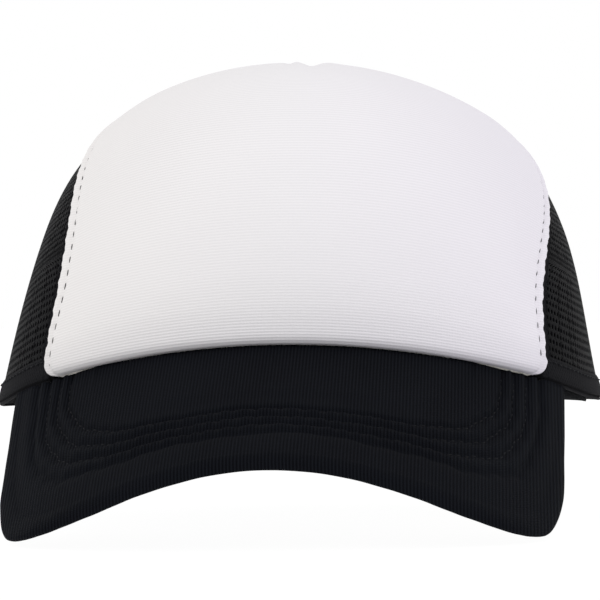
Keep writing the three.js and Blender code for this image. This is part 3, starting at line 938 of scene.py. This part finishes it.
def bill():
    cols = 420
    end = radians(89.3)
    a = np.linspace(-1, 1, cols)
    psi1 = a * end
    # Rows out from the crown to the last stitches, then over the stitched ribs to the edge
    field = np.linspace(0, 1, 26)[:-1]
    ribs = np.linspace(27, 3.2, 96)
    psi = np.broadcast_to(psi1, (len(field) + len(ribs), cols))
    inset = np.concatenate([np.full(len(field), 27.0), ribs])[:, None] + np.zeros(cols)
    d = np.concatenate([field, np.ones(len(ribs))])[:, None] + np.zeros(cols)
    # The stitches sit in channels, and the cloth stands up in cords between them
    along = np.broadcast_to(psi1 * 150, psi.shape)
    depth = np.zeros(psi.shape)
    flat_part = d < 1
    e = np.where(flat_part, 60.0, inset)
    for i, row in enumerate(ROWS_IN):
        wander = 0.25 * np.sin(along * 0.11 + i) + 0.18 * np.sin(along * 0.31 + 2 * i)
        depth += 1.05 * np.exp(-np.abs((e - row - wander) / 0.85) ** 1.6)
    for i in range(3):
        mid = (ROWS_IN[i] + ROWS_IN[i + 1]) / 2
        front = np.exp(-((psi / 0.55) ** 2))
        gathers = np.sin(along * 0.85 + 1.7 * i + 0.8 * np.sin(along * 0.23))
        pucker = 0.34 * front * gathers * np.exp(-(((e - mid) / 1.5) ** 2))
        depth -= 0.35 * np.exp(-(((e - mid) / 1.3) ** 2)) + pucker
    depth -= 0.6 * np.exp(-(((e - 6.0) / 3.2) ** 2))  # a fuller pad outside the rows
    depth -= 0.35 * smooth(22, 30, np.where(flat_part, 30, inset))
    tuck = (1 - smooth(0, 0.05, np.where(flat_part, d, 1.0))) * 0.2
    depth += tuck
    top, _ = bill_surface(psi, inset, d, depth)
    # The edge rolls round from the top to the underside
    turn = np.linspace(0, pi, 22)[1:-1]
    mid_depth = THICK / 2
    roll = []
    # The rolled edge flares at the corners, a little more on the wearer's right
    bend = np.abs(np.sin(psi1))
    back = smooth(0.95, 1, bend)
    flare = smooth(0.45, 0.8, bend) * np.where(psi1 < 0, -3.2 + 1.6 * back, 1.8 - 1.8 * back)
    wob = 0.30 * np.sin(along[0] * 0.16 + 1) + 0.22 * np.sin(along[0] * 0.37)
    for s in turn:
        r_in = np.full(cols, 3.2 - 3.4 * sin(s))
        dep = mid_depth - mid_depth * cos(s) + (0.55 * cos(s) if s < pi / 2 else 0) * -0.6
        P, _ = bill_surface(psi1, r_in, np.ones(cols), dep + 0.12 * wob)
        P[:, 0] += flare * sin(s)
        roll.append(P)
    roll = np.array(roll)
    # Underside: a smooth lining with the same rows showing
    under_in = np.concatenate([np.linspace(3.2, 27, 60)])
    psi_u = np.broadcast_to(psi1, (len(under_in) + 18, cols))
    inset_u = np.concatenate([under_in, np.full(18, 27.0)])[:, None] + np.zeros(cols)
    d_u = np.concatenate([np.ones(60), np.linspace(1, 0, 19)[1:]])[:, None] + np.zeros(cols)
    dep_u = np.full(psi_u.shape, THICK)
    eu = np.where(d_u < 1, 60, inset_u)
    for row in ROWS_IN:
        dep_u -= 0.45 * np.exp(-np.abs((eu - row) / 0.8) ** 1.6)
    under, _ = bill_surface(psi_u, inset_u, d_u, dep_u)
    grid = np.concatenate([top, roll, under])
    rows = len(grid)
    faces = grid_faces(rows, cols)
    # Close the inner edge, and each end
    i = np.arange(cols - 1)
    last = (rows - 1) * cols
    closing = np.stack([i + 1, i, last + i, last + i + 1], -1)
    quads = [faces[:, ::-1], closing[:, ::-1]]
    verts = grid.reshape(-1, 3)
    caps = [[j * cols for j in range(rows)], [j * cols + cols - 1 for j in range(rows)][::-1]]
    arc = np.concatenate([[0], np.cumsum(np.linalg.norm(np.diff(grid, axis=0), axis=2).mean(1))])
    x = grid[..., 0]
    uv = np.stack([x, np.broadcast_to(arc[:, None], x.shape)], -1) * MM
    faces = np.concatenate(quads).tolist() + caps
    o = piece("bill_cloth", verts, faces, KNIT, uv=uv.reshape(-1, 2))
    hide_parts("bill_top_cover", "bill_under_cover", "bill_board")
    lines = []
    for i, row in enumerate(ROWS_IN):
        s = np.linspace(-end * 0.985, end * 0.985, 500)
        along_s = s * 150
        wander = 0.25 * np.sin(along_s * 0.11 + i) + 0.18 * np.sin(along_s * 0.31 + 2 * i)
        P, n = bill_surface(s, row + wander, np.ones(500), np.full(500, 1.0))
        lines.append((P, n))
    stitches("bill_topstitch", lines, 3.3, 2.4, 0.42, THREAD)
    lines = []
    for row in ROWS_IN:
        s = np.linspace(-end * 0.985, end * 0.985, 500)
        P, n = bill_surface(s, np.full(500, row), np.ones(500), np.full(500, THICK - 0.4))
        lines.append((P, -n))
    stitches("bill_understitch", lines, 3.3, 2.4, 0.42, THREAD)


bill()

# ---------------------------------------------------------------- button, label, straps
def button():
    tilt = radians(8)
    r, h = 7.5, 4.2
    a = np.linspace(0, 2 * pi, 64, endpoint=False)
    dome = np.linspace(0.12, pi / 2, 14)
    prof = [(0.01, h)] + [(r * sin(s) ** 0.9, h * cos(s) ** 0.75 if s < pi / 2 - 0.01 else 0.0) for s in dome]
    prof += [(r - 0.2, -0.35), (r - 0.9, -0.5), (r - 1.6, -0.2), (r - 2.2, 0.6), (0.01, 0.9)]
    rings = []
    for rr, zz in prof:
        gather = 1 + 0.012 * np.sin(a * 16) * smooth(0.5, 1.0, rr / r)
        x, y = rr * gather * np.cos(a), rr * gather * np.sin(a)
        z = np.full(64, zz) + 0.06 * np.sin(a * 16 + 1) * smooth(0.6, 1, rr / r)
        rings.append(np.stack([x, y * cos(tilt) + z * sin(tilt), -y * sin(tilt) + z * cos(tilt)], -1))
    P = np.array(rings) + np.array([APEX[0] + LEAN, APEX[1], APEX[2] + 3.3])
    faces = ring_faces(len(prof), 64)[:, ::-1]
    uv = np.stack(np.meshgrid(a * 5, np.arange(len(prof))), -1).reshape(-1, 2) * MM
    caps = [list(range(64))[::-1], [(len(prof) - 1) * 64 + q for q in range(64)]]
    o = piece("top_button_cloth", P.reshape(-1, 3), faces.tolist() + caps, KNIT, uv=uv)
    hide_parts("top_button_cap")


button()


def care_label():
    a = np.linspace(0, 1, 14)
    b = np.linspace(0, 1, 12)
    A, B = np.meshgrid(a, b)
    phi = np.radians(126 + 13 * A)
    t = 0.165 + 0.175 * B * (1 - 0.03 * np.sin(A * 5))
    curl = -3.5 - 1.2 * B * (0.4 + 0.6 * np.sin(A * 3.0 + 0.5))
    verts, faces = shell(crown(phi, t, curl), crown(phi, t, curl - 0.25))
    uv = np.concatenate([np.stack([A * 20, B * 22], -1).reshape(-1, 2)] * 2) * MM
    o = piece("care_label_cloth", verts, faces, LABEL, uv=uv)
    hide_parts("care_label")


care_label()

for name in ("right_snap_strap", "left_snap_strap", "right_strap_flange", "left_strap_flange"):
    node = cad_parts[name]
    node.data.materials.clear()
    node.data.materials.append(PLASTIC)
    mod = node.modifiers.new("edges", "BEVEL")
    mod.width = 0.3 * MM
    mod.segments = 2
    mod.limit_method = "ANGLE"
    mod.angle_limit = radians(40)
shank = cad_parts["top_button_shank"]
shank.data.materials.clear()
shank.data.materials.append(STEEL)

# ---------------------------------------------------------------- floor, light, camera
low = min(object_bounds()[0][2], -0.036)
floor_mesh = bpy.data.meshes.new("floor")
corners = [(x, y, low - 0.001) for x, y in ((-9, -9), (9, -9), (9, 9), (-9, 9))]
floor_mesh.from_pydata(corners, [], [(0, 1, 2, 3)])
floor = bpy.data.objects.new("floor", floor_mesh)
bpy.context.scene.collection.objects.link(floor)
# Painted light: the floor glows white on a near-black base, so no shadow of the cap shows on it.
self_lit_floor = Nodes("self_lit_floor", 0.9, specular=0.0)
cloudy = self_lit_floor.noise(self_lit_floor.place(), 3, 2)
self_lit_floor.colour(self_lit_floor.ramp(cloudy, (0.3, (0.06, 0.06, 0.06, 1)), (0.7, (0.07, 0.07, 0.07, 1))))
self_lit_floor.shader.inputs["Emission Color"].default_value = (1, 1, 1, 1)
self_lit_floor.shader.inputs["Emission Strength"].default_value = 0.97
floor_mesh.materials.append(self_lit_floor.material)

world = bpy.data.worlds.new("studio")
bpy.context.scene.world = world
world.use_nodes = True
sky = world.node_tree.nodes["Background"]
sky.inputs[0].default_value = (1, 1, 1, 1)
sky.inputs[1].default_value = 1.0
bpy.context.scene.view_settings.view_transform = "Standard"


def area(name, place, target, size, power, colour=(1, 1, 1)):
    light = bpy.data.lights.new(name, "AREA")
    light.shape = "RECTANGLE"
    light.size, light.size_y = size
    light.energy = power
    light.color = colour
    o = bpy.data.objects.new(name, light)
    o.location = place
    o.rotation_euler = (Vector(target) - Vector(place)).to_track_quat("-Z", "Y").to_euler()
    bpy.context.scene.collection.objects.link(o)


area("key", (-0.55, -0.95, 0.85), (0, -0.05, 0.03), (0.7, 0.7), 2.0, (1, 0.985, 0.97))
area("fill", (0.9, -0.8, 0.4), (0, -0.05, 0.03), (0.8, 0.8), 1.5, (0.97, 0.97, 1))

# The camera stands level with the crown, a long way off, square to the front
DISTANCE, EYE = 1.2, 0.031
YAW, ROLL = 0.055, 0.012
SENSOR = 36  # mm
FRAME_DISTANCES = 3.21 * 1200 / 600  # the lens, in sensor widths
camera = bpy.data.cameras.new("camera")
camera.sensor_width = SENSOR
camera.lens = SENSOR * FRAME_DISTANCES
camera_object = bpy.data.objects.new("camera", camera)
place = Vector((DISTANCE * sin(YAW), -DISTANCE * cos(YAW), EYE))
camera_object.location = place
look = (Vector((0, 0, EYE)) - place).to_track_quat("-Z", "Y")
camera_object.rotation_euler = look.to_euler()
camera_object.rotation_euler.rotate_axis("Z", -ROLL)
bpy.context.scene.collection.objects.link(camera_object)
bpy.context.scene.camera = camera_object
